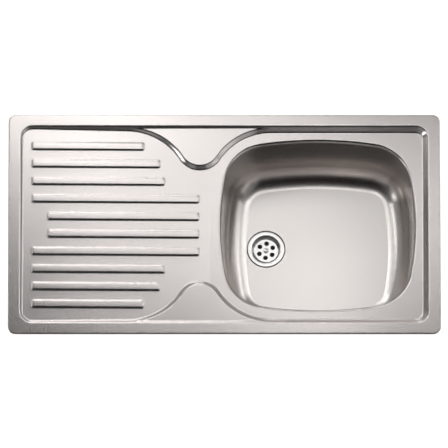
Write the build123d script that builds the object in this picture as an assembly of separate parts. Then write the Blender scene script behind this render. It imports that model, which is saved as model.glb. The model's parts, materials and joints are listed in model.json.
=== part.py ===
"""Inset kitchen sink with a ribbed drainboard, a bowl, two tap ledges, a waste and eight fixing clips.

All sizes are in millimetres. X runs along the worktop towards the bowl, Y towards the wall, and Z is up.
The origin is the centre of the rim, on the top of the worktop that the sink is let into.
"""
from build123d import *
import math
import os

# ---------------------------------------------------------------- rim
sink_length = 815.0
sink_width = 435.0
steel = 0.8                     # thickness of the pressed sheet
rim_corner_radius = 15.0
rim_height = 4.0                # top of the rim above the worktop
rim_edge_radius = 3.0           # rounding of the turned-down outer edge
rim_edge_gap = 0.3              # the turned-down edge stops this far above the worktop

# ---------------------------------------------------------------- recess, drainer floor and deck
recess_inset = 23.5             # outer edge of the rim to the top edge of the recess
recess_corner_radius = 23.5
wall_angle = 50.0               # slope of the pressed walls, from level
bend_radius = 4.0               # rounding at the top and the foot of those walls
drainer_drop = 3.8              # rim down to the drainer at its far end
deck_drop = 11.0                # rim down to the deck round the bowl
deck_margin = 14.0              # level strip between the foot of the drainer and the bowl's lip
drainer_foot_radius = 600.0     # gentle bend between the sloping drainer and the level deck

# ---------------------------------------------------------------- tap ledges
ledge_drop = 3.2                # rim down to the ledges
ledge_radius = 37.6
ledge_reach = 74.5              # how far a ledge stands out from the recess wall
ledge_flare_radius = 122.7      # the curves that run from a ledge into the recess wall
ledge_to_bowl = 40.7            # middle of the ledges to the bowl's wall

# ---------------------------------------------------------------- drainer ribs
rib_count = 10
rib_height = 1.8
rib_width = 15.7                # across the foot
rib_slope = 45.0
rib_corner_radius = 3.5
rib_root = 0.5                  # a rib starts this far inside the sheet, so that the two join
rib_side_margin = 38.0          # top edge of the recess to the middle of the outermost rib
rib_end_margin = 17.7           # foot of the recess wall to the start of the ribs
short_rib_start = 29.9          # the two middle ribs start this much later
rib_stops = (104.9, 74.6, 65.7, 0.8, 0.8)   # ledge middle back to the end of each rib, outermost first

# ---------------------------------------------------------------- bowl
bowl_length = 363.2             # between the walls at the mouth
bowl_end_gap = 20.6             # top edge of the recess to the bowl's lip, at the end
bowl_side_gap = 22.1            # the same at the front and the back
bowl_corner_radius = 79.6
long_side_radius = 715.0        # the bow of the front and back walls
short_side_radius = 514.6       # the bow of the end walls
lip_radius = 6.0
lip_skirt = 2.0                 # straight part of the lip, down to the weld
bowl_depth = 156.0              # rim down to the bowl's floor
bowl_draft = 4.0
bowl_floor_radius = 40.0

# ---------------------------------------------------------------- waste
waste_to_wall = 84.8            # middle of the waste to the bowl's wall on the drainer side
brim_diameter = 70.0
brim_thickness = 1.2
brim_rounding = 0.5
seat_clearance = 0.8            # radial gap between the brim and the side of its seat
seat_depth = 2.5
waste_hole_diameter = 60.0
dish_diameter = 53.6
grid_diameter = 47.6
dish_depth = 5.0
grate_thickness = 1.0
drain_hole_count = 6
drain_hole_diameter = 9.1
drain_hole_circle = 28.1
first_drain_hole = 85.5         # angle of the first drain hole, anticlockwise from X
upper_gasket_thickness = 1.0
lower_gasket_thickness = 2.5
gasket_inner_diameter = 58.0
body_brim_diameter = 78.0
body_brim_thickness = 3.5
body_wall = 2.6
body_cup_depth = 26.0
tail_diameter = 47.8            # 1 1/2 inch pipe thread, over the crests
tail_length = 24.0
spider_arms = 3
spider_arm_thickness = 3.0
spider_arm_height = 8.0
boss_diameter = 14.0
boss_length = 20.0
boss_drop = 5.0                 # grid down to the top of the boss
waste_screw_diameter = 6.0
waste_screw_clearance = 0.2
screw_head_diameter = 9.4
screw_head_height = 1.8
screw_head_side = 1.0           # upright part of the head's side
screw_crown_diameter = 7.6
screw_crown_height = 0.2
screw_socket_across_flats = 3.0
screw_socket_depth = 1.4
waste_nut_across_flats = 10.0
waste_nut_height = 5.0

# ---------------------------------------------------------------- seals and sound pad
seal_width = 6.5
seal_clearance = 0.2            # rounding of the rim's edge to the seal
pad_thickness = 2.0
pad_length = 160.0
pad_width = 190.0
pad_corner_radius = 12.0
pad_gap = 18.0                  # edge of the waste body to the pad

# ---------------------------------------------------------------- fixing clips
clip_inset = 39.5               # outer edge of the rim to the clip's screw
clip_end_distance = 84.0        # recess wall to the first clip along the drainer
clip_bowl_offset = 60.0         # middle of the bowl to the clips beside it
bracket_strip = 1.5
bracket_width = 8.0
bracket_inner = 22.0            # between the legs
bracket_foot = 8.5
bracket_web_depth = 34.0        # worktop's top down to the bracket's web
boss_height = 3.0
clip_boss_diameter = 9.0
clip_screw_diameter = 5.0
thread_clearance = 0.08
clip_screw_length = 35.0
clip_screw_tip = 5.0            # the screw stands this far out of the web at rest
clip_tip_chamfer = 0.6
clip_head_diameter = 9.5
clip_head_height = 3.5
clip_head_chamfer = 0.8
slot_width = 1.2
slot_depth = 1.1
claw_gap = 0.3                  # play between the claw and the screw's head
claw_bore_clearance = 0.1
claw_strip = 2.0
claw_width = 12.0
claw_heel = 7.0                 # screw to the blind end
claw_heel_radius = 4.0
claw_flat = 14.0                # screw to the first bend
claw_ramp = 10.0                # run of the cranked part
claw_rise = 14.0                # height of the cranked part
claw_length = 38.0              # screw to the end of the claw
tooth_count = 3
tooth_height = 2.0
tooth_pitch = 3.4

# ---------------------------------------------------------------- worked-out sizes
half_length = sink_length / 2
half_width = sink_width / 2
wall_run = 1 / math.tan(math.radians(wall_angle))      # plan width of a pressed wall per unit of height
wall_shift = math.tan(math.radians(wall_angle) / 2)    # how far a bend moves sideways per unit of sheet
rib_shift = math.tan(math.radians(rib_slope) / 2)
gap_tolerance = 0.01                                   # closer than this counts as touching
recess_half_length = half_length - recess_inset
recess_half_width = half_width - recess_inset
ledge_level = rim_height - ledge_drop
deck_level = rim_height - deck_drop
bowl_floor = rim_height - bowl_depth
weld_level = deck_level - lip_radius - lip_skirt
bowl_width = 2 * (recess_half_width - bowl_side_gap - lip_radius)
bowl_x = recess_half_length - bowl_end_gap - lip_radius - bowl_length / 2
bowl_wall_x = bowl_x - bowl_length / 2
ledge_x = bowl_wall_x - ledge_to_bowl
waste_x = bowl_wall_x + waste_to_wall
drainer_start_x = -recess_half_length
drainer_end_x = bowl_wall_x - lip_radius - deck_margin
drainer_fall = (deck_drop - drainer_drop) / (drainer_end_x - drainer_start_x)
drainer_angle = math.degrees(math.atan(drainer_fall))
seat_floor = bowl_floor - seat_depth
far = 2 * sink_length                                  # longer than anything in the sink


def level_box(low, high):
    """A solid box between two corners."""
    size = [high[i] - low[i] for i in range(3)]
    middle = [(high[i] + low[i]) / 2 for i in range(3)]
    return Pos(*middle) * Box(*size)


def rounded_plate(half_x, half_y, radius, z):
    """A rounded rectangle about the origin, facing up, at height z."""
    return Pos(0, 0, z) * RectangleRounded(2 * half_x, 2 * half_y, radius)


def drill(diameter, x=0, y=0):
    """A long upright rod, for cutting a hole right through a piece."""
    return Pos(x, y, 0) * Cylinder(diameter / 2, 2 * far)


def tapered_down(outline, depth, angle):
    """An outline pressed downwards, drawn in by walls at this angle from level."""
    return extrude(outline, amount=depth, dir=(0, 0, -1), taper=90 - angle)


# ================================================================ pressed deck
def recess_outline_with_ledges(grow, z):
    """The recess round both ledges, as it is at the ledges' level, with every edge moved out by grow."""
    shrink = ledge_drop * wall_run - grow
    hx = recess_half_length - shrink
    hy = recess_half_width - shrink
    corner = recess_corner_radius - shrink
    wall_y = recess_half_width - ledge_drop * wall_run
    ledge_y = wall_y - ledge_reach + ledge_radius
    flare_y = wall_y - ledge_flare_radius
    flare_dx = math.sqrt((ledge_flare_radius + ledge_radius) ** 2 - (ledge_y - flare_y) ** 2)
    meet = math.degrees(math.atan2(ledge_y - flare_y, flare_dx))
    flare = ledge_flare_radius + grow
    back = [
        CenterArc((hx - corner, hy - corner), corner, 0, 90),
        Line((hx - corner, hy), (ledge_x + flare_dx, hy)),
        CenterArc((ledge_x + flare_dx, flare_y), flare, 90, 90 - meet),
        CenterArc((ledge_x, ledge_y), ledge_radius - grow, -meet, 2 * meet - 180),
        CenterArc((ledge_x - flare_dx, flare_y), flare, meet, 90 - meet),
        Line((ledge_x - flare_dx, hy), (corner - hx, hy)),
        CenterArc((corner - hx, hy - corner), corner, 90, 90),
    ]
    front = [edge.mirror(Plane.XZ) for edge in back]
    sides = [Line((x, corner - hy), (x, hy - corner)) for x in (hx, -hx)]
    return Pos(0, 0, z) * make_face(back + front + sides)


def space_above_floor(gap):
    """Everything above the sloping drainer and the level deck, lowered by gap."""
    high = rim_height + deck_drop
    start = deck_level - gap + drainer_fall * (drainer_end_x + far)
    floor = FilletPolyline(
        (-far, start), (drainer_end_x, deck_level - gap), (far, deck_level - gap), radius=drainer_foot_radius
    )
    lid = Polyline((far, deck_level - gap), (far, high), (-far, high), (-far, start))
    section = Plane.XZ * make_face([floor, lid])
    return extrude(section, amount=sink_width, both=True)


def floor_edges(pressing):
    """The edges round the downward-facing floor of a pressing, without the seams inside the floor."""
    nearly_level = math.cos(math.radians(wall_angle / 2))
    floors = [face for face in pressing.faces() if face.normal_at().Z < -nearly_level]
    edges = [edge for face in floors for edge in face.edges()]
    return [edge for edge in edges if sum(edge.is_same(other) for other in edges) == 1]


def recess_pressing(gap):
    """The space pressed out of the rim: a shallow part over the ledges and the deep recess round them."""
    shift = gap * wall_shift
    top = rim_height - gap
    shallow_outline = rounded_plate(
        recess_half_length + shift, recess_half_width + shift, recess_corner_radius + shift, top
    )
    shallow = tapered_down(shallow_outline, ledge_drop, wall_angle)
    deep_outline = recess_outline_with_ledges(shift + ledge_drop * wall_run, top)
    deep = tapered_down(deep_outline, deck_drop + ledge_drop, wall_angle)
    deep = deep & space_above_floor(gap)
    deep = fillet(floor_edges(deep), bend_radius + gap)
    return shallow + deep


def bowl_mouth(grow, z):
    """The bowl's outline: four bowed sides and four corners, every edge moved out by grow."""
    half_x = bowl_length / 2
    half_y = bowl_width / 2
    long_y = half_y - long_side_radius
    short_x = half_x - short_side_radius
    reach_long = long_side_radius - bowl_corner_radius
    reach_short = short_side_radius - bowl_corner_radius
    between = math.hypot(short_x, long_y)
    along = (reach_long**2 - reach_short**2 + between**2) / (2 * between)
    across = math.sqrt(reach_long**2 - along**2)
    slope_x = short_x / between
    slope_y = -long_y / between
    corner_x = along * slope_x + across * slope_y
    corner_y = long_y + along * slope_y - across * slope_x
    rise = math.degrees(math.atan2(corner_y - long_y, corner_x))
    tilt = math.degrees(math.atan2(corner_y, corner_x - short_x))
    corner = bowl_corner_radius + grow
    back_right = CenterArc((corner_x, corner_y), corner, tilt, rise - tilt)
    back_left = back_right.mirror(Plane.YZ)
    back = CenterArc((0, long_y), long_side_radius + grow, rise, 180 - 2 * rise)
    right = CenterArc((short_x, 0), short_side_radius + grow, -tilt, 2 * tilt)
    half = [back_right, back, back_left]
    ring = half + [edge.mirror(Plane.XZ) for edge in half] + [right, right.mirror(Plane.YZ)]
    return Pos(bowl_x, 0, z) * make_face(ring)


def drainer_plane(x, y, gap):
    """The plane of the sloping drainer, lowered by gap, with its origin at this place."""
    slope = math.radians(drainer_angle)
    height = deck_level - gap + drainer_fall * (drainer_end_x - x)
    along = (math.cos(slope), 0, -math.sin(slope))
    upright = (math.sin(slope), 0, math.cos(slope))
    return Plane((x, y, height), x_dir=along, z_dir=upright)


def drainer_ribs(gap):
    """The raised ribs of the drainer, on its sloping floor; the middle two start later."""
    inset = gap * rib_shift - rib_root
    floor = drainer_plane(drainer_end_x, 0, gap + rib_root)
    width = rib_width - 2 * inset
    corner = rib_corner_radius - inset
    pitch = 2 * (recess_half_width - rib_side_margin) / (rib_count - 1)
    first_x = drainer_start_x + drainer_drop * wall_run + rib_end_margin
    ribs = []
    for index in range(rib_count):
        from_edge = min(index, rib_count - 1 - index)
        is_middle = from_edge == (rib_count - 1) // 2
        start = first_x + short_rib_start * is_middle + inset
        stop = ledge_x - rib_stops[from_edge] - inset
        y = (index - (rib_count - 1) / 2) * pitch
        outline = Pos((start + stop) / 2 - drainer_end_x, y) * RectangleRounded(stop - start, width, corner)
        ribs.append(floor * extrude(outline, amount=rib_height + rib_root, taper=90 - rib_slope))
    return ribs


def deck_form(gap):
    """The solid that lies under the deck's top face, or under its lower face when gap is the sheet."""
    top = rim_height - gap
    form = extrude(
        rounded_plate(half_length - gap, half_width - gap, rim_corner_radius - gap, weld_level),
        amount=top - weld_level,
    )
    form = fillet(form.faces().sort_by(Axis.Z)[-1].edges(), rim_edge_radius - gap)
    form -= recess_pressing(gap)
    rim_face = form.faces().filter_by(Plane.XY).sort_by(Axis.Z)[-1]
    form = fillet(rim_face.inner_wires()[0].edges(), bend_radius - gap)
    mouth = extrude(bowl_mouth(gap, weld_level), amount=top - weld_level)
    form -= mouth
    lip = form.edges().filter_by(lambda edge: on_bowl_lip(edge, gap))
    form = fillet(lip, lip_radius - gap)
    for rib in drainer_ribs(gap):
        form += rib
    return form


def on_bowl_lip(edge, gap):
    """True for the edges where the bowl's mouth meets the deck."""
    box = edge.bounding_box()
    is_level = max(abs(z - deck_level + gap) for z in (box.min.Z, box.max.Z)) < gap_tolerance
    middle = edge.center()
    off_end = abs(middle.X - bowl_x) - bowl_length / 2
    off_side = abs(middle.Y) - bowl_width / 2
    return is_level and max(off_end, off_side) < gap + gap_tolerance


def make_deck():
    """The pressed sheet, with its outer edge turned down towards the worktop."""
    sheet = deck_form(0) - deck_form(steel)
    band = rounded_plate(half_length + steel, half_width + steel, rim_corner_radius + steel, weld_level)
    band -= rounded_plate(recess_half_length, recess_half_width, recess_corner_radius, weld_level)
    return sheet - extrude(band, amount=rim_edge_gap - weld_level)


# ================================================================ bowl
def bowl_space(gap):
    """The inside of the bowl, with the seat of the waste, swollen by gap."""
    depth = weld_level - bowl_floor + gap
    space = tapered_down(bowl_mouth(gap, weld_level), depth, 90 - bowl_draft)
    space = fillet(space.faces().sort_by(Axis.Z)[0].edges(), bowl_floor_radius + gap)
    seat_radius = brim_diameter / 2 + seat_clearance + gap
    seat = Pos(waste_x, 0, seat_floor - gap) * extrude(Circle(seat_radius), amount=bowl_floor_radius)
    return space + seat


def make_bowl():
    """The drawn bowl, an even sheet with the waste hole in the middle of its seat."""
    return bowl_space(steel) - bowl_space(0) - drill(waste_hole_diameter, waste_x)


# ================================================================ waste
def turned(points):
    """A solid of revolution about the waste's axis, from (radius, height) points."""
    section = Plane.XZ * make_face(Polyline(*points, close=True))
    return Pos(waste_x, 0, 0) * revolve(section, Axis.Z)


def waste_disc(radius, inner_radius, low, high):
    """A flat washer round the waste's axis."""
    return turned([(inner_radius, low), (radius, low), (radius, high), (inner_radius, high)])


gasket_low = seat_floor
brim_low = gasket_low + upper_gasket_thickness
brim_top = brim_low + brim_thickness
grid_top = brim_top - dish_depth
grid_low = grid_top - grate_thickness
lower_gasket_low = seat_floor - steel - lower_gasket_thickness
body_brim_low = lower_gasket_low - body_brim_thickness
cup_low = lower_gasket_low - body_cup_depth
tail_low = cup_low - tail_length
boss_top = grid_low - boss_drop
waste_nut_low = boss_top - boss_length


def make_waste_grate():
    """Brim, dish and grid in one pressing, with its ring of drain holes and its screw hole."""
    brim = brim_diameter / 2
    dish = dish_diameter / 2
    grid = grid_diameter / 2
    grate = turned([
        (0, grid_low),
        (grid, grid_low),
        (dish, brim_low),
        (brim, brim_low),
        (brim, brim_top - brim_rounding),
        (brim - brim_rounding, brim_top),
        (dish + brim_rounding, brim_top),
        (grid + brim_rounding, grid_top),
        (0, grid_top),
    ])
    for index in range(drain_hole_count):
        angle = math.radians(first_drain_hole + index * 360 / drain_hole_count)
        x = drain_hole_circle / 2 * math.cos(angle)
        y = drain_hole_circle / 2 * math.sin(angle)
        grate -= drill(drain_hole_diameter, waste_x + x, y)
    return grate - drill(waste_screw_diameter + 2 * waste_screw_clearance, waste_x)


def make_waste_screw():
    """Socket screw with a low domed head, which runs down through the boss into the insert."""
    shank = waste_screw_diameter / 2
    head = screw_head_diameter / 2
    head_top = grid_top + screw_head_height
    screw = turned([
        (0, waste_nut_low),
        (shank, waste_nut_low),
        (shank, grid_top),
        (head, grid_top),
        (head, grid_top + screw_head_side),
        (screw_crown_diameter / 2, head_top - screw_crown_height),
        (0, head_top),
    ])
    socket = RegularPolygon(screw_socket_across_flats / 2, side_count=6, major_radius=False)
    return screw - Pos(waste_x, 0, head_top - screw_socket_depth) * extrude(socket, amount=screw_socket_depth)


def make_waste_body():
    """Moulded funnel with its brim, threaded tail, and the spider that carries the screw boss."""
    outer = gasket_inner_diameter / 2 + body_wall / 2
    inner = outer - body_wall
    tail = tail_diameter / 2
    tail_bore = tail - body_wall
    brim = body_brim_diameter / 2
    body = turned([
        (inner, lower_gasket_low),
        (brim, lower_gasket_low),
        (brim, body_brim_low),
        (outer, body_brim_low),
        (outer, cup_low + body_wall + outer - tail),
        (tail, cup_low),
        (tail, tail_low),
        (tail_bore, tail_low),
        (tail_bore, cup_low),
        (inner, cup_low + inner - tail_bore),
    ])
    arm_top = boss_top - body_wall
    for index in range(spider_arms):
        arm = level_box(
            (0, -spider_arm_thickness / 2, arm_top - spider_arm_height),
            (inner + body_wall / 2, spider_arm_thickness / 2, arm_top),
        )
        body += Pos(waste_x, 0, 0) * Rot(0, 0, index * 360 / spider_arms) * arm
    body += waste_disc(boss_diameter / 2, 0, waste_nut_low, boss_top)
    bore = waste_disc(waste_screw_diameter / 2 + waste_screw_clearance, 0, waste_nut_low, boss_top)
    return body - bore - waste_nut_blank()


def waste_nut_blank():
    """The hexagon that fills the pocket at the foot of the boss."""
    outline = RegularPolygon(waste_nut_across_flats / 2, side_count=6, major_radius=False)
    return Pos(waste_x, 0, waste_nut_low) * extrude(outline, amount=waste_nut_height)


def make_waste_nut():
    """Hexagonal insert, tapped for the waste screw."""
    return waste_nut_blank() - waste_disc(waste_screw_diameter / 2, 0, waste_nut_low, boss_top)


# ================================================================ seals and sound pad
def seal_ring():
    """The whole run of sealing strip, between the worktop and the underside of the rim."""
    outer = rim_edge_radius + seal_clearance
    inner = outer + seal_width
    ring = rounded_plate(half_length - outer, half_width - outer, rim_corner_radius - outer, 0)
    ring -= rounded_plate(half_length - inner, half_width - inner, rim_corner_radius - inner, 0)
    return extrude(ring, amount=rim_height - steel)


def make_seals():
    """Four lengths of sealing strip: the front and back ones go round the corners."""
    ring = seal_ring()
    joint_y = half_width - rim_corner_radius
    cuts = {
        "seal_back": ((-half_length, joint_y, -steel), (half_length, half_width, rim_height)),
        "seal_front": ((-half_length, -half_width, -steel), (half_length, -joint_y, rim_height)),
        "seal_left": ((-half_length, -joint_y, -steel), (0, joint_y, rim_height)),
        "seal_right": ((0, -joint_y, -steel), (half_length, joint_y, rim_height)),
    }
    return {name: ring & level_box(*corners) for name, corners in cuts.items()}


def make_sound_pad():
    """Heavy damping pad, stuck to the flat underside of the bowl beside the waste."""
    pad_x = waste_x + body_brim_diameter / 2 + pad_gap + pad_length / 2
    outline = RectangleRounded(pad_length, pad_width, pad_corner_radius)
    return Pos(pad_x, 0, bowl_floor - steel - pad_thickness) * extrude(outline, amount=pad_thickness)


# ================================================================ fixing clips
def clip_places():
    """Place of every clip: its screw's axis on the worktop's top, local Y pointing outwards."""
    row_x = (-recess_half_length + clip_end_distance, ledge_x, bowl_x + clip_bowl_offset)
    y = half_width - clip_inset
    x = half_length - clip_inset
    back = [Location((place, y, 0)) for place in row_x]
    front = [Location((place, -y, 0), (0, 0, 180)) for place in row_x]
    ends = [Location((-x, 0, 0), (0, 0, 90)), Location((x, 0, 0), (0, 0, -90))]
    return back + front + ends


def deck_underside(place):
    """The plane of the deck's lower face above a clip: tap ledge, level deck or sloping drainer."""
    x = place.position.X
    y = place.position.Y
    if abs(x - ledge_x) < ledge_radius and abs(y) > recess_half_width - ledge_reach:
        return Plane((x, y, ledge_level - steel))
    if x > drainer_end_x:
        return Plane((x, y, deck_level - steel))
    return drainer_plane(x, y, steel)


web_top = -bracket_web_depth
web_low = web_top - bracket_strip
screw_tip = web_top + clip_screw_tip
head_top = screw_tip - clip_screw_length
claw_low = head_top + claw_gap


def make_bracket(place):
    """Hat bracket: two feet welded to the deck, two legs, and a web with the threaded boss."""
    leg = bracket_inner / 2 + bracket_strip
    half = bracket_width / 2
    ceiling = rim_height
    underside = deck_underside(place)
    hat = level_box((-leg, -half, web_low), (leg, half, ceiling))
    hat -= level_box((-bracket_inner / 2, -half, web_top), (bracket_inner / 2, half, ceiling))
    hat += Pos(0, 0, web_top + boss_height / 2) * Cylinder(clip_boss_diameter / 2, boss_height)
    hat -= drill(clip_screw_diameter + 2 * thread_clearance)
    below = underside * Pos(0, 0, -far / 2) * Box(far, far, far)
    slab = underside * Pos(0, 0, -bracket_strip / 2) * Box(far, far, bracket_strip)
    bracket = (place * hat) & below
    for side in (-1, 1):
        inner = side * leg
        outer = side * (leg + bracket_foot)
        foot = level_box((min(inner, outer), -half, web_top), (max(inner, outer), half, ceiling))
        bracket += (place * foot) & slab
    return bracket


def make_clip_screw(place):
    """Fixing screw with a slotted head at its lower end."""
    shank = Pos(0, 0, (screw_tip + head_top) / 2) * Cylinder(clip_screw_diameter / 2, clip_screw_length)
    shank = chamfer(shank.edges().sort_by(Axis.Z)[-1], clip_tip_chamfer)
    head = Pos(0, 0, head_top - clip_head_height / 2) * Cylinder(clip_head_diameter / 2, clip_head_height)
    head = chamfer(head.edges().sort_by(Axis.Z)[0], clip_head_chamfer)
    low = head_top - clip_head_height
    side = clip_head_diameter / 2
    slot = level_box((-side, -slot_width / 2, low), (side, slot_width / 2, low + slot_depth))
    return place * (shank + head - slot)


def make_claw(place):
    """Cranked steel claw: a flat that sits on the screw's head, a ramp, and a toothed end."""
    bend = claw_flat + claw_ramp
    high = claw_low + claw_rise
    crank = math.atan2(claw_rise, claw_ramp)
    fold = claw_strip * math.tan(crank / 2)
    section = [(-claw_heel, claw_low), (claw_flat, claw_low), (bend, high), (claw_length, high)]
    for index in range(tooth_count):
        tooth = claw_length - index * tooth_pitch
        section.append((tooth, high + claw_strip))
        section.append((tooth, high + claw_strip + tooth_height))
        section.append((tooth - tooth_height, high + claw_strip))
    section.append((bend - fold, high + claw_strip))
    section.append((claw_flat - fold, claw_low + claw_strip))
    section.append((-claw_heel, claw_low + claw_strip))
    strip = extrude(Plane.XZ * make_face(Polyline(*section, close=True)), amount=claw_width / 2, both=True)
    heel = strip.edges().filter_by(Axis.Z).group_by(Axis.X)[0]
    strip = fillet(heel, claw_heel_radius)
    return place * (strip - drill(clip_screw_diameter + 2 * claw_bore_clearance))


# ================================================================ all the pieces
def make_pieces():
    """Every sub-part of the sink, by name."""
    pieces = {
        "sink_deck": make_deck(),
        "bowl": make_bowl(),
        "waste_grate": make_waste_grate(),
        "waste_screw": make_waste_screw(),
        "upper_gasket": waste_disc(brim_diameter / 2, gasket_inner_diameter / 2, gasket_low, brim_low),
        "lower_gasket": waste_disc(
            body_brim_diameter / 2, gasket_inner_diameter / 2, lower_gasket_low, seat_floor - steel
        ),
        "waste_body": make_waste_body(),
        "waste_nut": make_waste_nut(),
        "sound_pad": make_sound_pad(),
    }
    pieces.update(make_seals())
    for number, place in enumerate(clip_places(), start=1):
        pieces[f"clip_bracket_{number}"] = make_bracket(place)
        pieces[f"clip_screw_{number}"] = make_clip_screw(place)
        pieces[f"clip_claw_{number}"] = make_claw(place)
    return pieces


os.makedirs("parts", exist_ok=True)
for name, solid in make_pieces().items():
    export_step(solid, f"parts/{name}.step")
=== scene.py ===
"""Looks of the inset kitchen sink: smooth pressed sheets, materials, studio light and the camera.

Lengths are in millimetres while a surface is worked out, and in metres once it is a mesh. The frame is the
model's: X along the worktop towards the bowl, Y towards the wall, Z up, worktop at Z = 0.
"""
import json
import math

import bpy
import numpy as np
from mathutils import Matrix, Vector
from mathutils.geometry import delaunay_2d_cdt


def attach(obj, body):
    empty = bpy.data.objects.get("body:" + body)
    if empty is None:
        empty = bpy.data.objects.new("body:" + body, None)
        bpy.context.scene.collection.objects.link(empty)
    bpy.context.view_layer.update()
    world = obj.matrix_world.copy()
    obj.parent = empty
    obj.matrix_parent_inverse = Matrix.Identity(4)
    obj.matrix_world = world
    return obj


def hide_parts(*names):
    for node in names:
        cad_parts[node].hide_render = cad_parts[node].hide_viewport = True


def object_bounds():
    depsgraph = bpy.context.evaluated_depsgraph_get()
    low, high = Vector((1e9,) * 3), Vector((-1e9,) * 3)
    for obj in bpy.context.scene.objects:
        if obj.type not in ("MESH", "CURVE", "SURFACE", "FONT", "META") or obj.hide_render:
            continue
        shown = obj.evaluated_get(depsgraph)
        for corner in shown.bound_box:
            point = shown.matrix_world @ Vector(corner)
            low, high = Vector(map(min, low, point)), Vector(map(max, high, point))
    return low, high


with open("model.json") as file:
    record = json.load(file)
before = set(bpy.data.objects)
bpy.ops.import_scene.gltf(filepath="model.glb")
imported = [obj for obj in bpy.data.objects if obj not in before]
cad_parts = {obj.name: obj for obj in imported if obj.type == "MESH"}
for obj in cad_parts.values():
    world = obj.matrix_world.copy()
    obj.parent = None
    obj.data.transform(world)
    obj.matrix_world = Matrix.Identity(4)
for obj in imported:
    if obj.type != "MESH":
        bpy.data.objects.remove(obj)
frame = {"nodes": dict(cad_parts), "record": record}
cad_low, cad_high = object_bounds()

MM = 0.001
BODY = "sink"

# ---------------------------------------------------------------- sizes of the pressed deck, as in the model
HALF_LENGTH = 407.5
HALF_WIDTH = 217.5
SHEET = 0.8
RIM_CORNER = 15.0
RIM_TOP = 4.0
RIM_ROUND = 3.0
RIM_FOOT = 0.3
RECESS_X = 384.0
RECESS_Y = 194.0
RECESS_CORNER = 23.5
WALL_RUN = 1 / math.tan(math.radians(50.0))
LEDGE_DROP = 3.2
DECK_LEVEL = -7.0
DRAINER_END = -25.8
DRAINER_FALL = 7.2 / 358.2
DRAINER_BEND = 6.0
LEDGE_X = -46.5
LEDGE_RADIUS = 37.6
LEDGE_REACH = 74.5
FLARE_RADIUS = 122.7
RIB_COUNT = 10
RIB_HEIGHT = 1.8
RIB_WIDTH = 15.7
RIB_CORNER = 3.5
RIB_PITCH = 2 * (RECESS_Y - 38.0) / (RIB_COUNT - 1)
RIB_START = -363.1
SHORT_RIB_START = 29.9
RIB_STOPS = (104.9, 74.6, 65.7, 0.8, 0.8)

# ---------------------------------------------------------------- sizes of the bowl
BOWL_X = 175.8
BOWL_HALF_X = 181.6
BOWL_HALF_Y = 165.9
BOWL_CORNER = 79.6
LONG_RADIUS = 715.0
SHORT_RADIUS = 514.6
LIP_RADIUS = 6.0
WELD_LEVEL = -15.0
BOWL_FLOOR = -152.0
BOWL_DRAFT = 4.0
FLOOR_RADIUS = 40.0
WASTE_X = 79.0
SEAT_RADIUS = 35.8
SEAT_DEPTH = 2.5
WASTE_HOLE = 30.0

# ---------------------------------------------------------------- sizes of the waste's grate and screw
BRIM_TOP = BOWL_FLOOR - SEAT_DEPTH + 2.2
GRID_TOP = BRIM_TOP - 9.5
GRID_RADIUS = 22.0
GRATE_PROFILE = (           # radius, height, and the slope's outward and upward parts
    (35.0, BRIM_TOP - 1.2, 1.0, 0.0),
    (34.9, BRIM_TOP - 0.6, 0.9, 0.4),
    (34.5, BRIM_TOP - 0.15, 0.5, 0.9),
    (33.9, BRIM_TOP, 0.0, 1.0),
    (30.5, BRIM_TOP + 0.1, 0.0, 1.0),
    (27.8, BRIM_TOP, -0.1, 1.0),
    (27.2, BRIM_TOP - 0.3, -0.7, 0.7),
    (26.8, BRIM_TOP - 0.9, -1.0, 0.3),
    (24.2, GRID_TOP + 1.3, -1.0, 0.3),
    (23.7, GRID_TOP + 0.5, -0.7, 0.7),
    (23.0, GRID_TOP + 0.1, -0.3, 1.0),
    (GRID_RADIUS, GRID_TOP, 0.0, 1.0),
)
DRAIN_HOLES = 6
DRAIN_CIRCLE = 14.05
DRAIN_RADIUS = 4.55
FIRST_DRAIN = math.radians(85.5)
SCREW_HOLE = 3.2
SCREW_FOOT = -183.3
SCREW_TOP = GRID_TOP + 1.8
SOCKET = 1.5                # half the width of the hexagon
SOCKET_DEPTH = 1.4
SCREW_PROFILE = (           # radius and height, from the foot up to the crown
    (0.0, SCREW_FOOT),
    (3.0, SCREW_FOOT),
    (3.0, GRID_TOP + 0.05),
    (4.7, GRID_TOP + 0.05),
    (4.7, GRID_TOP + 1.0),
    (4.45, GRID_TOP + 1.35),
    (3.8, GRID_TOP + 1.6),
    (2.2, GRID_TOP + 1.75),
)

# ---------------------------------------------------------------- fineness of the surfaces
GRID = 0.5                 # raster on which the deck's height is worked out
WALL_SOFTNESS = 1.15       # how far the bends of the walls spread
RIB_SOFTNESS = 0.75
SEAT_SOFTNESS = 0.5
RIM_STEP = 10              # how far apart points lie along each line
MOUTH_STEP = 4
WALL_STEP = 2
RIB_STEP = 4
CORNER_STEP = 1.5
RIB_CORNER_STEP = 0.8
WALL_ROWS = np.arange(-3, 14)  # how far inside a wall's top line each row of points lies
RIB_ROWS = (-2.0, -1.3, -0.6, 0.1, 0.8, 1.5, 2.2, 2.9, 3.4)
DECK_SPREAD = 18.0         # how far apart points lie on the flat parts
BOWL_SPREAD = 14.0
SPREAD_NEAREST = 6         # how near to the other points they may come
BORDER_NEAREST = 0.45
RIM_MARGIN = 4             # a strip inside the rim's edge that stays free of points
SEAT_STEPS = 72            # points around a circle
GRATE_STEPS = 96
DRAIN_STEPS = 32
SCREW_STEPS = 48


# ================================================================ heights of the pressed deck
def rounded_box_depth(x, y, half_x, half_y, corner):
    """Distance inside a rounded rectangle about the origin, negative outside it."""
    qx = np.abs(x) - (half_x - corner)
    qy = np.abs(y) - (half_y - corner)
    outside = np.hypot(np.maximum(qx, 0), np.maximum(qy, 0))
    return corner - outside - np.minimum(np.maximum(qx, qy), 0)


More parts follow.
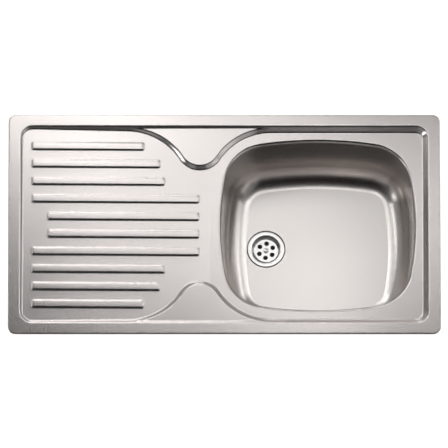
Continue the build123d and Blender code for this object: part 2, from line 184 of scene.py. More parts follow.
LEDGE_WALL_Y = RECESS_Y - LEDGE_DROP * WALL_RUN
LEDGE_Y = LEDGE_WALL_Y - LEDGE_REACH + LEDGE_RADIUS
FLARE_Y = LEDGE_WALL_Y - FLARE_RADIUS
FLARE_DX = math.sqrt((FLARE_RADIUS + LEDGE_RADIUS) ** 2 - (LEDGE_Y - FLARE_Y) ** 2)
MEET = math.atan2(LEDGE_Y - FLARE_Y, FLARE_DX)


def ledge_depth(x, y):
    """Distance from the ledges' curved edges, positive on the recess side."""
    u = np.abs(x - LEDGE_X)
    v = np.abs(y)
    on_flare = (v - FLARE_Y) * math.cos(MEET) + (u - FLARE_DX) * math.sin(MEET) > 0
    flare = FLARE_RADIUS - np.hypot(u - FLARE_DX, v - FLARE_Y)
    lobe = np.hypot(u, v - LEDGE_Y) - LEDGE_RADIUS
    depth = np.where(on_flare, flare, lobe)
    return np.where(u < FLARE_DX, depth, np.inf)


def floor_level(x):
    """Height of the sloping drainer and the level deck."""
    back = DRAINER_END - x
    bend = (back + DRAINER_BEND) ** 2 / (4 * DRAINER_BEND)
    run = np.where(back > DRAINER_BEND, back, np.where(back < -DRAINER_BEND, 0, bend))
    return DECK_LEVEL + DRAINER_FALL * run


def ribs_boxes():
    """Middle and half sizes of every rib's foot."""
    boxes = []
    for index in range(RIB_COUNT):
        from_edge = min(index, RIB_COUNT - 1 - index)
        start = RIB_START + SHORT_RIB_START * (from_edge == (RIB_COUNT - 1) // 2)
        stop = LEDGE_X - RIB_STOPS[from_edge]
        y = (index - (RIB_COUNT - 1) / 2) * RIB_PITCH
        boxes.append(((start + stop) / 2, y, (stop - start) / 2, RIB_WIDTH / 2))
    return boxes


def softened(field, spread):
    """The field with its creases rounded."""
    reach = int(math.ceil(3 * spread / GRID))
    taps = np.exp(-0.5 * (np.arange(-reach, reach + 1) * GRID / spread) ** 2)
    taps /= taps.sum()
    for axis in (0, 1):
        padded = np.pad(field, [(reach, reach) if a == axis else (0, 0) for a in (0, 1)], mode="edge")
        size = field.shape[axis]
        field = sum(tap * np.take(padded, range(i, i + size), axis) for i, tap in enumerate(taps))
    return field


grid_x = np.arange(-HALF_LENGTH - 0.5, HALF_LENGTH + 0.6, GRID)
grid_y = np.arange(-HALF_WIDTH - 0.5, HALF_WIDTH + 0.6, GRID)
gx, gy = np.meshgrid(grid_x, grid_y)
recess = rounded_box_depth(gx, gy, RECESS_X, RECESS_Y, RECESS_CORNER)
deep = np.minimum(recess - LEDGE_DROP * WALL_RUN, ledge_depth(gx, gy))
pressed = RIM_TOP - np.clip(recess / WALL_RUN, 0, LEDGE_DROP) - np.maximum(deep, 0) / WALL_RUN
pressed = np.maximum(pressed, floor_level(gx))
raised = np.zeros_like(gx)
for mid_x, mid_y, half_x, half_y in ribs_boxes():
    near = np.abs(gy - mid_y) < half_y + 1
    depth = rounded_box_depth(gx[near] - mid_x, gy[near] - mid_y, half_x, half_y, RIB_CORNER)
    raised[near] = np.maximum(raised[near], np.clip(depth, 0, RIB_HEIGHT))
height = softened(pressed, WALL_SOFTNESS) + softened(raised, RIB_SOFTNESS)
slope_y, slope_x = np.gradient(height, GRID)


def sampled(field, points):
    """The raster field at these points."""
    fx = (points[:, 0] - grid_x[0]) / GRID
    fy = (points[:, 1] - grid_y[0]) / GRID
    ix = np.clip(fx.astype(int), 0, len(grid_x) - 2)
    iy = np.clip(fy.astype(int), 0, len(grid_y) - 2)
    tx = fx - ix
    ty = fy - iy
    low = field[iy, ix] * (1 - tx) + field[iy, ix + 1] * tx
    high = field[iy + 1, ix] * (1 - tx) + field[iy + 1, ix + 1] * tx
    return low * (1 - ty) + high * ty


# ================================================================ outlines, as points with outward normals
def arc(centre, radius, start, sweep, step, inner=False):
    """Points along an arc; the normals point away from its centre, or towards it when inner."""
    count = max(2, int(math.ceil(abs(sweep) * radius / step)) + 1)
    angles = start + sweep * np.arange(count) / (count - 1)
    normals = np.stack([np.cos(angles), np.sin(angles)], 1)
    return np.asarray(centre) + radius * normals, -normals if inner else normals


def run(start, end, step):
    """Points along a straight run, whose normals point to its right."""
    start = np.asarray(start, float)
    end = np.asarray(end, float)
    length = np.linalg.norm(end - start)
    count = max(2, int(math.ceil(length / step)) + 1)
    along = (end - start) / length
    points = start + np.linspace(0, length, count)[:, None] * along
    return points, np.tile([along[1], -along[0]], (count, 1))


def joined(pieces):
    """One closed outline from pieces that meet, without the doubled points."""
    points = np.concatenate([piece[0][:-1] for piece in pieces])
    normals = np.concatenate([piece[1][:-1] for piece in pieces])
    return points, normals


def rounded_box_outline(half_x, half_y, corner, step, corner_step, middle=(0, 0)):
    """Closed outline of a rounded rectangle, anticlockwise."""
    a = half_x - corner
    b = half_y - corner
    quarter = math.pi / 2
    pieces = [
        run((half_x, -b), (half_x, b), step),
        arc((a, b), corner, 0, quarter, corner_step),
        run((a, half_y), (-a, half_y), step),
        arc((-a, b), corner, quarter, quarter, corner_step),
        run((-half_x, b), (-half_x, -b), step),
        arc((-a, -b), corner, 2 * quarter, quarter, corner_step),
        run((-a, -half_y), (a, -half_y), step),
        arc((a, -b), corner, 3 * quarter, quarter, corner_step),
    ]
    points, normals = joined(pieces)
    return points + np.asarray(middle), normals


def mouth_arcs():
    """Centres of the arcs of the bowl's mouth about its middle, and where its corner arc starts and ends."""
    long_y = BOWL_HALF_Y - LONG_RADIUS
    short_x = BOWL_HALF_X - SHORT_RADIUS
    reach_long = LONG_RADIUS - BOWL_CORNER
    reach_short = SHORT_RADIUS - BOWL_CORNER
    between = math.hypot(short_x, long_y)
    along = (reach_long**2 - reach_short**2 + between**2) / (2 * between)
    across = math.sqrt(reach_long**2 - along**2)
    corner_x = (along * short_x - across * long_y) / between
    corner_y = long_y + (-along * long_y - across * short_x) / between
    rise = math.atan2(corner_y - long_y, corner_x)
    tilt = math.atan2(corner_y, corner_x - short_x)
    return long_y, short_x, corner_x, corner_y, rise, tilt


def bowl_outline(step):
    """Closed outline of the bowl's mouth at its wall, anticlockwise."""
    long_y, short_x, corner_x, corner_y, rise, tilt = mouth_arcs()
    turn = rise - tilt
    pieces = [
        arc((short_x, 0), SHORT_RADIUS, -tilt, 2 * tilt, step),
        arc((corner_x, corner_y), BOWL_CORNER, tilt, turn, step),
        arc((0, long_y), LONG_RADIUS, rise, math.pi - 2 * rise, step),
        arc((-corner_x, corner_y), BOWL_CORNER, math.pi - rise, turn, step),
        arc((-short_x, 0), SHORT_RADIUS, math.pi - tilt, 2 * tilt, step),
        arc((-corner_x, -corner_y), BOWL_CORNER, math.pi + tilt, turn, step),
        arc((0, -long_y), LONG_RADIUS, math.pi + rise, math.pi - 2 * rise, step),
        arc((corner_x, -corner_y), BOWL_CORNER, -rise, turn, step),
    ]
    points, normals = joined(pieces)
    return points + np.array([BOWL_X, 0]), normals


def ledge_edge(step):
    """The open curve of the back ledge: flare, lobe, flare. Its normals point to the ledge."""
    flare_sweep = math.pi / 2 - MEET
    lobe_sweep = math.pi + 2 * MEET
    pieces = [
        arc((LEDGE_X + FLARE_DX, FLARE_Y), FLARE_RADIUS, math.pi / 2, flare_sweep, step),
        arc((LEDGE_X, LEDGE_Y), LEDGE_RADIUS, -MEET, -lobe_sweep, step, inner=True),
        arc((LEDGE_X - FLARE_DX, FLARE_Y), FLARE_RADIUS, MEET, flare_sweep, step),
    ]
    return joined(pieces)


def ring_at(radius, count, middle=(0.0, 0.0)):
    """Points on a circle, anticlockwise, and their outward directions."""
    turns = 2 * np.pi * np.arange(count) / count
    ring = np.column_stack([np.cos(turns), np.sin(turns)])
    return np.asarray(middle) + radius * ring, ring


# ================================================================ meshes
def triangulated(points, loops):
    """Delaunay triangles of these points, with the closed loops as edges."""
    edges = []
    for loop in loops:
        edges += [(int(a), int(b)) for a, b in zip(loop, np.roll(loop, -1))]
    result = delaunay_2d_cdt([Vector(p) for p in points], edges, [], 0, 1e-5)
    verts = np.array([tuple(v) for v in result[0]])
    return verts, np.array(result[2])


def thinned(points, kept, nearest):
    """The points that lie at least this far apart, in coarse cells, after those that are kept."""
    cells = set()
    for point in kept:
        cells.add((round(point[0] / nearest), round(point[1] / nearest)))
    chosen = []
    for point in points:
        cell = (round(point[0] / nearest), round(point[1] / nearest))
        if cell not in cells:
            cells.add(cell)
            chosen.append(point)
    return np.array(chosen)


def spread_points(x_range, y_range, apart):
    """Points in an even grid over a rectangle."""
    return np.array([(x, y) for x in np.arange(*x_range, apart) for y in np.arange(*y_range, apart)])


def strip_faces(first, second):
    """Quads between two closed rows of vertex numbers."""
    return [
        (int(a), int(b), int(c), int(d))
        for a, b, c, d in zip(first, np.roll(first, -1), np.roll(second, -1), second)
    ]


def make_sheet(name, verts, normals, faces, edge_loops, uvs):
    """A sheet of even thickness whose good side is given, with its cut edges closed."""
    verts = np.asarray(verts, float)
    normals = np.asarray(normals, float)
    count = len(verts)
    under = verts - SHEET * normals
    all_verts = [verts, under]
    all_normals = [normals, -normals]
    all_uvs = [uvs, uvs]
    all_faces = [tuple(f) for f in faces] + [tuple(i + count for i in reversed(f)) for f in faces]
    at = 2 * count
    for loop, outward in edge_loops:
        size = len(loop)
        all_verts += [verts[loop], under[loop]]
        all_normals += [outward, outward]
        all_uvs += [uvs[loop], uvs[loop]]
        top = np.arange(at, at + size)
        all_faces += [f[::-1] for f in strip_faces(top, top + size)]
        at += 2 * size
    mesh = bpy.data.meshes.new(name)
    mesh.from_pydata((np.concatenate(all_verts) * MM).tolist(), [], all_faces)
    mesh.update()
    mesh.polygons.foreach_set("use_smooth", np.ones(len(mesh.polygons), bool))
    corner_verts = np.zeros(len(mesh.loops), np.int32)
    mesh.loops.foreach_get("vertex_index", corner_verts)
    layer = mesh.uv_layers.new(name="grain")
    layer.data.foreach_set("uv", np.concatenate(all_uvs)[corner_verts].astype(np.float32).ravel())
    mesh.normals_split_custom_set_from_vertices(np.concatenate(all_normals).tolist())
    obj = bpy.data.objects.new(name, mesh)
    bpy.context.scene.collection.objects.link(obj)
    return obj


def rows_beside(points, normals, offsets):
    """Copies of an outline moved inwards by each offset."""
    return np.concatenate([points - normals * offset for offset in offsets])


def cleaned(verts, faces):
    """Faces turned to look up, without the degenerate ones."""
    a, b, c = (verts[faces[:, i]] for i in range(3))
    area = (b[:, 0] - a[:, 0]) * (c[:, 1] - a[:, 1]) - (b[:, 1] - a[:, 1]) * (c[:, 0] - a[:, 0])
    faces = faces[np.abs(area) > 1e-6]
    turned = area[np.abs(area) > 1e-6] < 0
    faces[turned] = faces[turned][:, ::-1]
    return faces


def make_deck():
    """The whole pressed deck: rim, recess, ledges, drainer, ribs and the bowl's rolled lip."""
    rim, rim_normals = rounded_box_outline(
        HALF_LENGTH - RIM_ROUND, HALF_WIDTH - RIM_ROUND, RIM_CORNER - RIM_ROUND, RIM_STEP, CORNER_STEP
    )
    mouth, mouth_normals = bowl_outline(MOUTH_STEP)
    lip = mouth + LIP_RADIUS * mouth_normals
    wall, wall_normals = rounded_box_outline(RECESS_X, RECESS_Y, RECESS_CORNER, WALL_STEP, CORNER_STEP)
    rows = [rows_beside(wall, wall_normals, WALL_ROWS)]
    edge, edge_normals = ledge_edge(WALL_STEP)
    ledge_rows = rows_beside(edge, edge_normals, WALL_ROWS)
    rows += [ledge_rows, ledge_rows * [1, -1]]
    for mid_x, mid_y, half_x, half_y in ribs_boxes():
        foot, foot_normals = rounded_box_outline(
            half_x, half_y, RIB_CORNER, RIB_STEP, RIB_CORNER_STEP, (mid_x, mid_y)
        )
        rows.append(rows_beside(foot, foot_normals, RIB_ROWS))
    for back in np.linspace(-DRAINER_BEND, DRAINER_BEND, 5):
        rows.append(np.array([(DRAINER_END + back, y) for y in np.arange(-180, 181, 12.0)]))
    spread = spread_points((-395, 400), (-205, 206), DECK_SPREAD)
    border = np.concatenate([rim, lip])
    rows.append(thinned(spread, np.concatenate([border, *rows]), SPREAD_NEAREST))
    inside = thinned(np.concatenate(rows), border, BORDER_NEAREST)
    off_bowl = outside_mouth(inside, LIP_RADIUS + 1)
    off_rim = rounded_box_depth(
        inside[:, 0], inside[:, 1], HALF_LENGTH - RIM_MARGIN, HALF_WIDTH - RIM_MARGIN, RIM_CORNER - RIM_MARGIN
    ) > 0
    points = np.concatenate([border, inside[off_bowl & off_rim]])
    rim_loop = np.arange(len(rim))
    lip_loop = np.arange(len(rim), len(border))
    plan, faces = triangulated(points, [rim_loop, lip_loop])
    faces = cleaned(plan, faces)
    middles = plan[faces].mean(1)
    faces = faces[outside_mouth(middles, LIP_RADIUS)]
    z = sampled(height, plan)
    z[rim_loop] = RIM_TOP
    z[lip_loop] = DECK_LEVEL
    normals = np.stack([-sampled(slope_x, plan), -sampled(slope_y, plan), np.ones(len(plan))], 1)
    normals[: len(border)] = (0, 0, 1)
    normals /= np.linalg.norm(normals, axis=1)[:, None]
    verts = [np.column_stack([plan, z])]
    norms = [normals]
    uvs = [plan]
    faces = [tuple(int(i) for i in f) for f in faces]
    at = len(plan)

    def add_rows(base, flat_normals, loop, profile):
        """Closed rows that carry a loop on along a profile of (outward, height, outward normal, up)."""
        nonlocal at
        travel = 0.0
        last = (0.0, profile[0][1])
        for out, level, away, up in profile[1:]:
            travel += math.hypot(out - last[0], level - last[1])
            last = (out, level)
            row = base + flat_normals * out
            verts.append(np.column_stack([row, np.full(len(row), level)]))
            norms.append(np.column_stack([flat_normals * away, np.full(len(row), up)]))
            uvs.append(base + flat_normals * math.copysign(travel, out))
            new = np.arange(at, at + len(row))
            quads = strip_faces(loop, new)
            faces.extend(quads if out < 0 else [q[::-1] for q in quads])
            loop = new
            at += len(row)
        return loop

    turn = np.radians(np.linspace(0, 90, 8))
    outer = [
        (RIM_ROUND * math.sin(t), RIM_TOP - RIM_ROUND * (1 - math.cos(t)), math.sin(t), math.cos(t))
        for t in turn
    ]
    outer.append((RIM_ROUND, RIM_FOOT, 1, 0))
    foot = add_rows(rim, rim_normals, rim_loop, outer)
    roll = np.radians(np.linspace(0, 90 - BOWL_DRAFT, 12))
    inner = [
        (-LIP_RADIUS * math.sin(t), DECK_LEVEL - LIP_RADIUS * (1 - math.cos(t)), -math.sin(t), math.cos(t))
        for t in roll
    ]
    inner.append((weld_offset(), WELD_LEVEL, inner[-1][2], inner[-1][3]))
    weld = add_rows(lip, mouth_normals, lip_loop, inner)
    down = np.tile([0.0, 0.0, -1.0], (len(foot), 1))
    weld_down = np.tile([0.0, 0.0, -1.0], (len(weld), 1))
    return make_sheet(
        "deck_sheet", np.concatenate(verts), np.concatenate(norms), faces,
        [(foot, down), (weld, weld_down)], np.concatenate(uvs) * MM,
    )


def weld_offset():
    """How far inside the lip's start the sheet is at the weld, as a negative outward offset."""
    end = math.radians(90 - BOWL_DRAFT)
    drop = DECK_LEVEL - LIP_RADIUS * (1 - math.cos(end)) - WELD_LEVEL
    return -LIP_RADIUS * math.sin(end) - drop * math.tan(math.radians(BOWL_DRAFT))


def outside_mouth(points, grow):
    """True for the points outside the bowl's mouth, grown by this much."""
    long_y, short_x, corner_x, corner_y, rise, tilt = mouth_arcs()
    x = np.abs(points[:, 0] - BOWL_X)
    y = np.abs(points[:, 1])
    past_long = np.hypot(x, y - long_y) > LONG_RADIUS + grow
    past_short = np.hypot(x - short_x, y) > SHORT_RADIUS + grow
    in_corner = (np.arctan2(y - long_y, x) < rise) & (np.arctan2(y, x - short_x) > tilt)
    cut = np.hypot(x - corner_x, y - corner_y) > BOWL_CORNER + grow
    return past_long | past_short | (in_corner & cut)


def make_bowl():
    """The drawn bowl: drafted walls, a large floor radius, a flat floor and the sunk seat of the waste."""
    mouth, mouth_normals = bowl_outline(MOUTH_STEP)
    start = -weld_offset() - LIP_RADIUS
    draft = math.radians(BOWL_DRAFT)
    bend_start = BOWL_FLOOR + FLOOR_RADIUS * (1 - math.sin(draft))
    profile = []
    for level in np.linspace(WELD_LEVEL, bend_start, 8):
        inset = start + (WELD_LEVEL - level) * math.tan(draft)
        profile.append((inset, level, math.cos(draft), math.sin(draft)))
    centre = profile[-1][0] + FLOOR_RADIUS * math.cos(draft)
    for turn in np.linspace(draft, math.pi / 2, 15)[1:]:
        inset = centre - FLOOR_RADIUS * math.cos(turn)
        level = BOWL_FLOOR + FLOOR_RADIUS * (1 - math.sin(turn))
        profile.append((inset, level, math.cos(turn), math.sin(turn)))
    verts = []
    norms = []
    uvs = []
    faces = []
    around = np.concatenate([[0], np.cumsum(np.linalg.norm(np.diff(mouth, axis=0), axis=1))])
    size = len(mouth)
    for row, (inset, level, away, up) in enumerate(profile):
        place = mouth - mouth_normals * inset
        verts.append(np.column_stack([place, np.full(size, level)]))
        norms.append(np.column_stack([-mouth_normals * away, np.full(size, up)]))
        uvs.append(np.column_stack([around, np.full(size, level)]))
        if row:
            first = np.arange((row - 1) * size, row * size)
            faces += strip_faces(first, first + size)
    foot = mouth - mouth_normals * profile[-1][0]
    radii = np.concatenate([SEAT_RADIUS + np.arange(-2, 2.1, 0.5), [33, 31]])
    rings = [ring_at(radius, SEAT_STEPS, (WASTE_X, 0))[0] for radius in radii]
    hole, ring = ring_at(WASTE_HOLE, SEAT_STEPS, (WASTE_X, 0))
    spread = spread_points((0, 360), (-160, 161), BOWL_SPREAD)
    clear = np.hypot(spread[:, 0] - WASTE_X, spread[:, 1]) > SEAT_RADIUS + 5
    within = ~outside_mouth(spread, -profile[-1][0] - 5)
    points = np.concatenate([foot, hole, *rings, spread[clear & within]])
    foot_loop = np.arange(size)
    hole_loop = np.arange(size, size + len(hole))
    plan, tris = triangulated(points, [foot_loop, hole_loop])
    tris = cleaned(plan, tris)
    middles = plan[tris].mean(1)
    from_waste = np.hypot(middles[:, 0] - WASTE_X, middles[:, 1])
    in_hole = from_waste < WASTE_HOLE * math.cos(math.pi / SEAT_STEPS)
    beyond = outside_mouth(middles, -profile[-1][0] + 0.02)
    tris = tris[~in_hole & ~beyond]
    away = plan - np.array([WASTE_X, 0])
    radius = np.hypot(away[:, 0], away[:, 1])
    from_seat = np.clip((radius - SEAT_RADIUS) / SEAT_SOFTNESS, -30, 30)
    sink = 0.5 * (1 - np.tanh(from_seat))
    steep = 0.5 * SEAT_DEPTH / SEAT_SOFTNESS / np.cosh(from_seat) ** 2
    normals = np.column_stack([-away / radius[:, None] * steep[:, None], np.ones(len(plan))])
    normals /= np.linalg.norm(normals, axis=1)[:, None]
    at = size * len(profile)
    verts.append(np.column_stack([plan, BOWL_FLOOR - SEAT_DEPTH * sink]))
    norms.append(normals)
    uvs.append(plan)
    faces += [tuple(int(i) + at for i in f) for f in tris]
    lift = np.tile([0.0, 0.0, 1.0], (size, 1))
    inwards = np.column_stack([-ring, np.zeros(len(ring))])
    return make_sheet(
        "bowl_sheet", np.concatenate(verts), np.concatenate(norms), faces,
        [(np.arange(size)[::-1], lift), (hole_loop + at, inwards)], np.concatenate(uvs) * MM,
    )


def make_grate():
    """The pressed grate: its brim, the dish's steep wall and the grid with its holes."""
    count = GRATE_STEPS
    verts = []
    norms = []
    faces = []
    for row, (radius, level, out, up) in enumerate(GRATE_PROFILE):
        place, ring = ring_at(radius, count)
        verts.append(np.column_stack([place, np.full(count, level)]))
        norms.append(np.column_stack([ring * out, np.full(count, up)]) / math.hypot(out, up))
        if row:
            first = np.arange((row - 1) * count, row * count)
            faces += strip_faces(first, first + count)
    angles = FIRST_DRAIN + 2 * np.pi * np.arange(DRAIN_HOLES) / DRAIN_HOLES
    middles = [(DRAIN_CIRCLE * math.cos(a), DRAIN_CIRCLE * math.sin(a)) for a in angles]
    holes = [(middle, DRAIN_RADIUS) for middle in middles] + [((0.0, 0.0), SCREW_HOLE)]
    border = ring_at(GRID_RADIUS, count)[0]
    rims = [ring_at(radius, DRAIN_STEPS, middle) for middle, radius in holes]
    points = np.concatenate([border] + [rim[0] for rim in rims])
    loops = [np.arange(count)]
    for index in range(len(holes)):
        loops.append(count + index * DRAIN_STEPS + np.arange(DRAIN_STEPS))
    plan, tris = triangulated(points, loops)
    tris = cleaned(plan, tris)
    centres = plan[tris].mean(1)
    solid = np.ones(len(tris), bool)
    for middle, radius in holes:
        solid &= np.hypot(*(centres - middle).T) > radius * math.cos(math.pi / DRAIN_STEPS)
    at = count * len(GRATE_PROFILE)
    verts.append(np.column_stack([plan, np.full(len(plan), GRID_TOP)]))
    norms.append(np.tile([0.0, 0.0, 1.0], (len(plan), 1)))
    faces += [tuple(int(i) + at for i in f) for f in tris[solid]]
    cuts = [(np.arange(count)[::-1], np.tile([0.0, 0.0, -1.0], (count, 1)))]
    for loop, (rim, ring) in zip(loops[1:], rims):
        cuts.append((loop + at, np.column_stack([-ring, np.zeros(len(ring))])))
    verts = np.concatenate(verts) + np.array([WASTE_X, 0, 0])
    return make_sheet("grate_sheet", verts, np.concatenate(norms), faces, cuts, verts[:, :2] * MM)


def make_screw():
    """The waste's screw: shank, low domed head and a hexagonal socket in its crown."""
    count = SCREW_STEPS
    turns = 2 * np.pi * np.arange(count) / count
    hexagon = SOCKET / np.cos(np.mod(turns, math.pi / 3) - math.pi / 6)
    rows = [np.full(count, radius) for radius, _ in SCREW_PROFILE[1:]] + [hexagon, hexagon]
    levels = [level for _, level in SCREW_PROFILE[1:]] + [SCREW_TOP, SCREW_TOP - SOCKET_DEPTH]
    verts = [(WASTE_X, 0.0, SCREW_FOOT)]
    faces = []
    for index, (radii, level) in enumerate(zip(rows, levels)):
        start = len(verts)
        verts += [(WASTE_X + r * math.cos(t), r * math.sin(t), level) for r, t in zip(radii, turns)]
        now = np.arange(start, start + count)
        if index:
            faces += strip_faces(now - count, now)
        else:
            faces += [(0, int(b), int(a)) for a, b in zip(now, np.roll(now, -1))]
    faces.append(tuple(int(i) for i in now))
    mesh = bpy.data.meshes.new("screw")
    mesh.from_pydata((np.array(verts) * MM).tolist(), [], faces)
    mesh.update()
    obj = bpy.data.objects.new("waste_screw_head", mesh)
    bpy.context.scene.collection.objects.link(obj)
    mesh.polygons.foreach_set("use_smooth", np.ones(len(mesh.polygons), bool))
    mesh.set_sharp_from_angle(angle=math.radians(35))
    return obj


# ================================================================ materials
def new_material(name):
    """A plain node material, its node tree and its shader."""
    material = bpy.data.materials.new(name)
    material.use_nodes = True
    tree = material.node_tree
    return material, tree, tree.nodes["Principled BSDF"]


def streaks(tree, scale, detail=3.0):
    """A noise drawn out along the grain, from 0 to 1, in the object's own coordinates."""
    coords = tree.nodes.new("ShaderNodeTexCoord")
    mapping = tree.nodes.new("ShaderNodeMapping")
    mapping.inputs["Scale"].default_value = scale
    noise = tree.nodes.new("ShaderNodeTexNoise")
    noise.inputs["Scale"].default_value = 1.0
    noise.inputs["Detail"].default_value = detail
    noise.inputs["Roughness"].default_value = 0.6
    tree.links.new(coords.outputs["Object"], mapping.inputs["Vector"])
    tree.links.new(mapping.outputs["Vector"], noise.inputs["Vector"])
    return noise.outputs["Fac"]


def ramped(tree, value, low, high):
    """A factor from 0 to 1 carried over to a range."""
    node = tree.nodes.new("ShaderNodeMapRange")
    node.inputs["To Min"].default_value = low
    node.inputs["To Max"].default_value = high
    tree.links.new(value, node.inputs["Value"])
    return node.outputs["Result"]


def tinted(tree, value, dark, light):
    """A factor from 0 to 1 carried over to a colour between two."""
    node = tree.nodes.new("ShaderNodeValToRGB")
    node.color_ramp.elements[0].position = 0.25
    node.color_ramp.elements[0].color = (*dark, 1)
    node.color_ramp.elements[1].position = 0.75
    node.color_ramp.elements[1].color = (*light, 1)
    tree.links.new(value, node.inputs["Fac"])
    return node.outputs["Color"]


def bumped(tree, shader, layers):
    """Bump layers of (height, strength, distance in metres), one on the other."""
    last = None
    for value, strength, distance in layers:
        bump = tree.nodes.new("ShaderNodeBump")
        bump.inputs["Strength"].default_value = strength
        bump.inputs["Distance"].default_value = distance
        tree.links.new(value, bump.inputs["Height"])
        if last:
            tree.links.new(last, bump.inputs["Normal"])
        last = bump.outputs["Normal"]
    tree.links.new(last, shader.inputs["Normal"])


def brushed_steel(name, tone, roughness, grain, stretch=(60, 4000, 4000), wave=0.000015):
    """Stainless steel with a fine grain along one direction and the faint waves of a pressed sheet."""
    material, tree, shader = new_material(name)
    fine = streaks(tree, stretch, 4.0)
    broad = streaks(tree, (3, 40, 40), 2.0)
    waves = streaks(tree, (7, 9, 9), 0.0)
    dark = tuple(0.99 * c for c in tone)
    light = tuple(1.01 * c for c in tone)
    tree.links.new(tinted(tree, broad, dark, light), shader.inputs["Base Color"])
    tree.links.new(ramped(tree, fine, roughness - 0.008, roughness + 0.008), shader.inputs["Roughness"])
    shader.inputs["Metallic"].default_value = 1.0
    if grain:
        shader.inputs["Anisotropic"].default_value = 0.6
        shader.inputs["Anisotropic Rotation"].default_value = 0.25
        tangent = tree.nodes.new("ShaderNodeTangent")
        tangent.direction_type = "UV_MAP"
        tangent.uv_map = "grain"
        tree.links.new(tangent.outputs["Tangent"], shader.inputs["Tangent"])
    bumped(tree, shader, [(fine, 0.05, 0.00001), (waves, 0.5, wave)])
    return material


def speckled(name, dark, light, roughness, scale, depth, metallic=0.0):
    """A moulded, cast or foamed surface with a fine even texture."""
    material, tree, shader = new_material(name)
    coarse = streaks(tree, (scale,) * 3, 5.0)
    tree.links.new(tinted(tree, coarse, dark, light), shader.inputs["Base Color"])
    tree.links.new(ramped(tree, coarse, roughness - 0.06, roughness + 0.06), shader.inputs["Roughness"])
    shader.inputs["Metallic"].default_value = metallic
    bumped(tree, shader, [(coarse, 0.4, depth)])
    return material


MATERIALS = {
    "deck_steel": brushed_steel("deck_steel", (0.775, 0.73, 0.71), 0.27, True),
    "bowl_steel": brushed_steel("bowl_steel", (0.775, 0.735, 0.71), 0.27, True),
    "waste_steel": brushed_steel("waste_steel", (0.72, 0.71, 0.70), 0.2, False, (900, 900, 900), 0.00002),
    "plated_steel": speckled("plated_steel", (0.60, 0.61, 0.60), (0.70, 0.71, 0.70), 0.32, 220, 0.00003, 1.0),
    "brass": speckled("brass", (0.66, 0.48, 0.22), (0.76, 0.58, 0.30), 0.3, 260, 0.00003, 1.0),
    "white_plastic": speckled("white_plastic", (0.80, 0.80, 0.78), (0.88, 0.88, 0.86), 0.45, 400, 0.00004),
    "black_rubber": speckled("black_rubber", (0.030, 0.030, 0.032), (0.060, 0.060, 0.062), 0.7, 500, 0.0001),
    "seal_foam": speckled("seal_foam", (0.16, 0.16, 0.165), (0.26, 0.26, 0.265), 0.85, 900, 0.0002),
    "damping_pad": speckled("damping_pad", (0.09, 0.09, 0.095), (0.15, 0.15, 0.155), 0.75, 350, 0.0002),
}
slots = {part["node"]: part["material_slot"] for part in frame["record"]["subparts"]}
for node, obj in frame["nodes"].items():
    obj.data.materials.clear()
    obj.data.materials.append(MATERIALS[slots[node]])

for make, node in (
    (make_deck, "sink_deck"), (make_bowl, "bowl"), (make_grate, "waste_grate"), (make_screw, "waste_screw"),
):
    piece = make()
    piece.data.materials.append(MATERIALS[slots[node]])
    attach(piece, BODY)
    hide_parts(node)

# ================================================================ floor
FLOOR_HALF = 20.0
FLOOR_GAP = 0.0002          # how far the floor lies below the outlet
FLOOR_GLOW = 0.9
PAINTED_SHADE_RADIUS = 22.5            # painted shade: the floor doesn't glow inside the waste's tail, so it is dark there as in the tail's shadow
floor_level_m = cad_low.z - FLOOR_GAP


def combined(tree, operation, first, second):
    """The result of one sum on two values, each a number or another node's output."""
    node = tree.nodes.new("ShaderNodeMath")
    node.operation = operation
    for socket, value in zip(node.inputs, (first, second)):
        if isinstance(value, float):
            socket.default_value = value
        else:
            tree.links.new(value, socket)
    return node.outputs[0]


def floor_material():
    """A pale matt floor that is white to the camera and in reflections, and keeps the object's shadow; inside the
    waste's tail its glow is cut, a painted shade patch.
    """
    material, tree, shader = new_material("floor")
    shader.inputs["Base Color"].default_value = (0.8, 0.8, 0.8, 1)
    shader.inputs["Roughness"].default_value = 0.9
    path = tree.nodes.new("ShaderNodeLightPath")
    seen = combined(tree, "MAXIMUM", path.outputs["Is Camera Ray"], path.outputs["Is Glossy Ray"])
    seen = combined(tree, "MAXIMUM", seen, path.outputs["Is Transmission Ray"])
    glow = combined(tree, "MULTIPLY", seen, FLOOR_GLOW)
    place = tree.nodes.new("ShaderNodeNewGeometry")
    apart = tree.nodes.new("ShaderNodeVectorMath")
    apart.operation = "DISTANCE"
    apart.inputs[1].default_value = (WASTE_X * MM, 0, floor_level_m)
    tree.links.new(place.outputs["Position"], apart.inputs[0])
    # painted shade: no glow inside the tail's foot, so the floor seen through the grate's holes is dark as in the
    # tail's shadow
    outside = combined(tree, "GREATER_THAN", apart.outputs["Value"], PAINTED_SHADE_RADIUS * MM)
    shader.inputs["Emission Color"].default_value = (1, 1, 1, 1)
    tree.links.new(combined(tree, "MULTIPLY", glow, outside), shader.inputs["Emission Strength"])
    return material


floor_mesh = bpy.data.meshes.new("floor")
floor_mesh.from_pydata(
    [(x, y, floor_level_m) for x, y in ((-FLOOR_HALF, -FLOOR_HALF), (FLOOR_HALF, -FLOOR_HALF),
                                        (FLOOR_HALF, FLOOR_HALF), (-FLOOR_HALF, FLOOR_HALF))],
    [], [(0, 1, 2, 3)],
)
floor = bpy.data.objects.new("floor", floor_mesh)
bpy.context.scene.collection.objects.link(floor)
floor_mesh.materials.append(floor_material())


# ================================================================ light
def panel(name, place, target, size_x, size_y, level):
    """A soft light that faces a point. Its level is its brightness when looked at, where 1 is white."""
    light = bpy.data.lights.new(name, "AREA")
    light.shape = "RECTANGLE"
    light.size = size_x
    light.size_y = size_y
    light.energy = math.pi * size_x * size_y * level
    obj = bpy.data.objects.new(name, light)
    obj.location = place
    obj.rotation_mode = "QUATERNION"
    obj.rotation_quaternion = (Vector(target) - Vector(place)).to_track_quat("-Z", "Y")
    obj.visible_camera = False
    bpy.context.scene.collection.objects.link(obj)


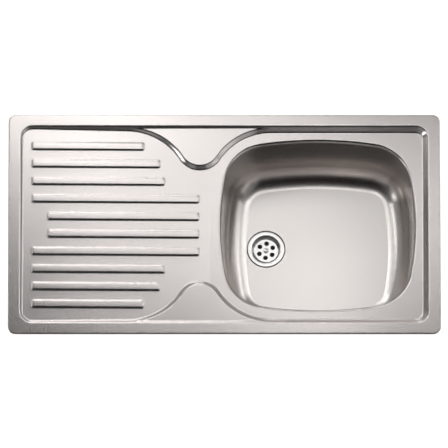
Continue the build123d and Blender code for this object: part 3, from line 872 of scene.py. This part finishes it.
# The strong panels stand where the sink reflects them to the camera. The weak and wide ones, all round, are there
# for the views from the sides.
CEILING = 1.5
LAYER = 0.003               # panels of one plane stand this far apart, so that they add up
CEILING_PANELS = (          # low and high x, low and high y, level
    (-0.56, -0.14, 0.71, 1.05, 3.9),
    (0.14, 0.85, 0.38, 0.6, 2.15),
    (1.3, 2.2, 0.6, 1.4, 1.95),
    (0.6, 0.85, 0.38, 0.6, 1.4),
    (-1.3, -0.85, 0.49, 0.71, 5.2),
    (-0.28, 0.0, 0.38, 0.6, 1.85),
    (-0.14, 0.14, 0.6, 1.05, 1.35),
    (0.0, 0.28, 0.27, 0.49, 2.55),
    (-2.2, 2.2, 1.4, 2.8, 0.35),
    (-2.2, -0.85, -1.6, 1.4, 0.1),
    (0.85, 2.2, -1.6, 1.4, 0.2),
)
for index, (low_x, high_x, low_y, high_y, level) in enumerate(CEILING_PANELS):
    x = (low_x + high_x) / 2
    y = (low_y + high_y) / 2
    z = CEILING + index * LAYER
    panel(f"ceiling_{index}", (x, y, z), (x, y, 0), high_x - low_x, high_y - low_y, level)

BACK = ((0, 3.0), (0, -1))  # a place on the wall, and the direction that its panels face
FRONT = ((0, -2.2), (0, 1))
LEFT = ((-2.3, 0), (1, 0))
RIGHT = ((2.3, 0), (-1, 0))
SIDE_PANELS = (             # wall, low and high place along it, low and high z, level
    (BACK, -0.1, 0.4, 0.35, 0.7, 3.4),
    (BACK, -0.6, -0.1, 0.0, 1.05, 2.35),
    (BACK, -2.3, 2.3, 0.35, 2.2, 0.5),
    (FRONT, -2.2, -0.6, 0.2, 1.5, 0.3),
    (FRONT, -0.6, 1.0, 0.2, 1.5, 0.06),
    (FRONT, 1.0, 2.3, 0.2, 1.5, 0.5),
    (FRONT, -0.1, 0.4, 0.0, 0.2, 0.8),
    (LEFT, -1.2, -0.5, 0.0, 0.3, 7.0),
    (LEFT, -0.5, 0.2, 0.8, 1.5, 2.6),
    (LEFT, -1.2, 1.0, 0.8, 1.5, 0.33),
    (LEFT, 1.0, 3.0, 0.3, 1.5, 0.5),
    (RIGHT, -2.2, -0.5, 0.0, 0.3, 1.3),
    (RIGHT, -2.2, -0.5, 0.3, 1.5, 0.7),
    (RIGHT, 0.2, 1.0, 0.8, 1.5, 1.2),
    (RIGHT, 1.0, 3.0, 0.3, 1.5, 0.35),
)
for index, ((wall, facing), low, high, low_z, high_z, level) in enumerate(SIDE_PANELS):
    middle = (low + high) / 2
    behind = index * LAYER
    x = wall[0] + middle * abs(facing[1]) - behind * facing[0]
    y = wall[1] + middle * abs(facing[0]) - behind * facing[1]
    z = (low_z + high_z) / 2
    target = (x + facing[0], y + facing[1], z)
    panel(f"side_{index}", (x, y, z), target, high - low, high_z - low_z, level)

world = bpy.data.worlds.new("studio")
world.use_nodes = True
world.node_tree.nodes["Background"].inputs["Color"].default_value = (1, 1, 1, 1)
world.node_tree.nodes["Background"].inputs["Strength"].default_value = 0.0
bpy.context.scene.world = world

# ================================================================ camera
ELEVATION = math.radians(72.1)
CAMERA_DISTANCE = 25.0
PIXELS = 448
PIXEL_SIZE = 1.882          # how much of the object's plane one pixel of the photograph's frame shows
FRAME_WIDTH = PIXELS * PIXEL_SIZE * MM
SENSOR = 36.0
aim = Vector((-0.0006, -0.0002, RIM_TOP * MM))
camera_data = bpy.data.cameras.new("camera")
camera_data.sensor_width = SENSOR
camera_data.lens = SENSOR * CAMERA_DISTANCE / FRAME_WIDTH
camera_data.clip_end = 100.0
camera = bpy.data.objects.new("camera", camera_data)
camera.rotation_mode = "QUATERNION"
camera.location = aim + CAMERA_DISTANCE * Vector((0, -math.cos(ELEVATION), math.sin(ELEVATION)))
camera.rotation_quaternion = (aim - camera.location).to_track_quat("-Z", "Y")
bpy.context.scene.collection.objects.link(camera)
bpy.context.scene.camera = camera

bpy.context.scene.view_settings.view_transform = "Standard"
